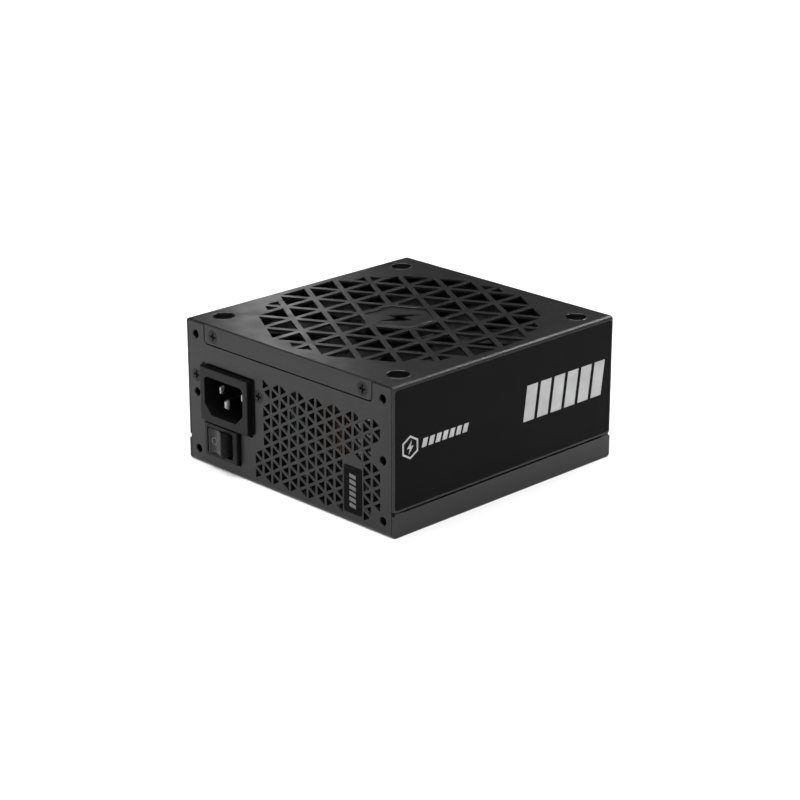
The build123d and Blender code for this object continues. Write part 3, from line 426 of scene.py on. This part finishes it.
def rating_marks():
    """Ruled table, and rows of short dashes, on the label underneath."""
    low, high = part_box("rating_label")
    width = high.x - low.x
    height = high.y - low.y
    rule = 0.5 * MM
    shapes = []
    left, right = 0.04 * width, 0.96 * width
    bottom, top = 0.06 * height, 0.645 * height
    for share in (0.05, 0.2, 0.35, 0.5, 0.65):
        y = share * height
        shapes.append([(left, y), (right, y), (right, y + rule), (left, y + rule)])
    for share in (0.04, 0.3, 0.52, 0.74, 0.955):
        x = share * width
        shapes.append([(x, bottom), (x + rule, bottom), (x + rule, top), (x, top)])
    for row in (0.11, 0.26, 0.41, 0.56):
        for column in (0.07, 0.33, 0.55, 0.77):
            corner = (column * width, row * height)
            shapes += slanted_bars(*corner, 0.14 * width, 0.03 * height, 5, 0.6 * MM, 0.0)
    shapes += slanted_bars(0.05 * width, 0.78 * height, 0.42 * width, 0.12 * height, 6, 1.6 * MM, 0.2)
    shapes += hexagon_badge(0.88 * width, 0.84 * height, 0.075 * height, 0.015 * height)
    prism(
        "rating_marks", shapes, origin=(low.x, high.y, low.z), across=(1, 0, 0), up=(0, -1, 0),
        material=PRINT, slot="rating_film",
    )


def name_plate_marks():
    """Bars on the rear plate, running upwards."""
    low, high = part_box("rear_name_plate")
    width = high.x - low.x
    height = high.z - low.z
    bars = slanted_bars(2.4 * MM, 0.32 * width, height - 4.6 * MM, 0.36 * width, 6, 0.9 * MM, 0.14)
    prism(
        "rear_name_plate_bars", bars, origin=(high.x, low.y, low.z), across=(0, 0, 1),
        up=(-1, 0, 0), material=MUTED_PRINT, slot="label_film",
    )


# ---------------------------------------------------------------- pressed edges of the top

LIP_SINK = 0.5  # share of the lip's radius that its centre lies below the sheet
SCREW_HEAD_RADIUS = 3.1 * MM
DIMPLE_LIP_RADIUS = 4.75 * MM
DIMPLE_LIP_THICK = 0.22 * MM
HEXAGON_LIP_RADIUS = 15.65 * MM
HEXAGON_LIP_THICK = 0.15 * MM


def ring_points(x, y, z, radius, count, start):
    """Corners of a regular outline in a level plane, start degrees round from +X."""
    angles = [radians(start + 360 * k / count) for k in range(count)]
    return [Vector((x + radius * cos(a), y + radius * sin(a), z)) for a in angles]


def pressed_lips(name, outlines, thickness):
    """Rounded lips along closed level outlines, sunk partly into the sheet."""
    mesh = bmesh.new()
    section = [
        (thickness * cos(radians(30 * k)), thickness * (sin(radians(30 * k)) - LIP_SINK))
        for k in range(12)
    ]
    for outline in outlines:
        rings = []
        for index, point in enumerate(outline):
            before = (point - outline[index - 1]).normalized()
            after = (outline[(index + 1) % len(outline)] - point).normalized()
            outward = Vector((before.y + after.y, -before.x - after.x, 0))
            outward *= 2 / outward.length_squared
            rings.append([
                mesh.verts.new(point + outward * reach + Vector((0, 0, rise)))
                for reach, rise in section
            ])
        for first, second in zip(rings, rings[1:] + rings[:1]):
            for k in range(len(section)):
                face = mesh.faces.new((first[k - 1], first[k], second[k], second[k - 1]))
                face.smooth = True
    piece = made_object(name, mesh, MATERIALS["rubbed_lip"])
    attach(piece, "root")


def top_lips():
    """Rims of the four corner dimples and of the recessed hexagon."""
    low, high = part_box("fan_screws")
    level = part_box("top_cover")[1].z
    dimples = [
        ring_points(x, y, level, DIMPLE_LIP_RADIUS, 72, 0)
        for x in (low.x + SCREW_HEAD_RADIUS, high.x - SCREW_HEAD_RADIUS)
        for y in (low.y + SCREW_HEAD_RADIUS, high.y - SCREW_HEAD_RADIUS)
    ]
    hexagon = ring_points(0, 0, level, HEXAGON_LIP_RADIUS, 6, 30)
    pressed_lips("dimple_lips", dimples, DIMPLE_LIP_THICK)
    pressed_lips("hexagon_lip", [hexagon], HEXAGON_LIP_THICK)


# ---------------------------------------------------------------- stage, light and camera

AZIMUTH = radians(45.504)
ELEVATION = radians(19.874)
CAMERA_DISTANCE = 0.9664
AIM_DROP = 5.06 * MM
LENS = 101.94
SENSOR_WIDTH = 36.0
LIGHT_AIM_HEIGHT = 0.03
FLOOR_SIZE = 30.0
FLOOR_GLOW = (0.9, 2.4)  # metres from the middle at which the glow starts and is full
WORLD_STRENGTH = 0.04


def aim(item, back):
    """Turn a light or camera so that its local Z points along back."""
    back = Vector(back).normalized()
    right = Vector((0, 0, 1)).cross(back).normalized()
    item.rotation_euler = Matrix((right, back.cross(right), back)).transposed().to_euler()


def add_camera():
    """Camera fitted to the case's corners in the photograph, without shift."""
    low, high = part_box("lower_chassis")
    back = Vector((sin(AZIMUTH) * cos(ELEVATION), -cos(AZIMUTH) * cos(ELEVATION), sin(ELEVATION)))
    right = Vector((cos(AZIMUTH), sin(AZIMUTH), 0))
    target = (low + high) / 2 - back.cross(right) * AIM_DROP
    camera = bpy.data.objects.new("camera", bpy.data.cameras.new("camera"))
    camera.data.lens = LENS
    camera.data.sensor_width = SENSOR_WIDTH
    camera.location = target + back * CAMERA_DISTANCE
    aim(camera, back)
    bpy.context.scene.collection.objects.link(camera)
    bpy.context.scene.camera = camera


def softbox(name, azimuth, elevation, distance, size, brightness):
    """Area light that faces the object; azimuth 0 is at -Y, 90 at +X."""
    a = radians(azimuth)
    e = radians(elevation)
    back = Vector((sin(a) * cos(e), -cos(a) * cos(e), sin(e)))
    light = bpy.data.objects.new(name, bpy.data.lights.new(name, "AREA"))
    light.data.shape = "RECTANGLE"
    light.data.size = size[0]
    light.data.size_y = size[1]
    light.data.energy = brightness * pi * size[0] * size[1]
    light.location = Vector((0, 0, LIGHT_AIM_HEIGHT)) + back * distance
    aim(light, back)
    bpy.context.scene.collection.objects.link(light)


def add_floor():
    """Pale floor that stays white where the lights no longer reach it."""
    bpy.ops.mesh.primitive_plane_add(size=FLOOR_SIZE)
    floor = bpy.context.object
    floor.name = "floor"
    floor.location.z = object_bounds()[0][2]
    material, tree, shader = new_material("floor", (0.93, 0.93, 0.93), 0.9, specular=0.1)
    tone = mix_colours(tree, noise(tree, 0.4), (0.92, 0.92, 0.92), (0.94, 0.94, 0.94))
    tree.links.new(tone, shader.inputs["Base Color"])
    place = tree.nodes.new("ShaderNodeTexCoord")
    distance = tree.nodes.new("ShaderNodeVectorMath")
    distance.operation = "LENGTH"
    tree.links.new(place.outputs["Object"], distance.inputs[0])
    start, end = FLOOR_GLOW
    glow = remap(tree, distance.outputs["Value"], 0.0, 1.0, start=start, end=end)
    shader.inputs["Emission Color"].default_value = (1.0, 1.0, 1.0, 1.0)
    tree.links.new(glow, shader.inputs["Emission Strength"])
    floor.data.materials.append(material)


def add_world():
    """Dim, even surroundings."""
    world = bpy.data.worlds.new("studio")
    world.use_nodes = True
    background = world.node_tree.nodes["Background"]
    background.inputs["Color"].default_value = (0.9, 0.9, 0.9, 1.0)
    background.inputs["Strength"].default_value = WORLD_STRENGTH
    bpy.context.scene.world = world


def add_lights():
    """Name, azimuth, elevation, distance, size and brightness of each light."""
    softbox("key", 35, 62, 3.4, (5.6, 5.6), 2.35)
    softbox("rim", 165, 42, 1.1, (1.3, 0.06), 34)
    softbox("sheen", 232.2, 20, 0.9, (0.03, 0.22), 7.2)
    softbox("back", 212, 30, 1.6, (0.50, 0.30), 0.30)
    softbox("front_left", -38, 66, 0.80, (0.30, 0.30), 7.0)
    softbox("floor_wash", 225, 62, 2.2, (1.2, 1.2), 2.4)


dress_cad_nodes()
side_marks("side_label_right", 1)
side_marks("side_label_left", -1)
name_plate_marks()
rocker_marks()
rating_marks()
top_lips()
add_camera()
add_floor()
add_world()
add_lights()
bpy.context.scene.view_settings.view_transform = "Standard"
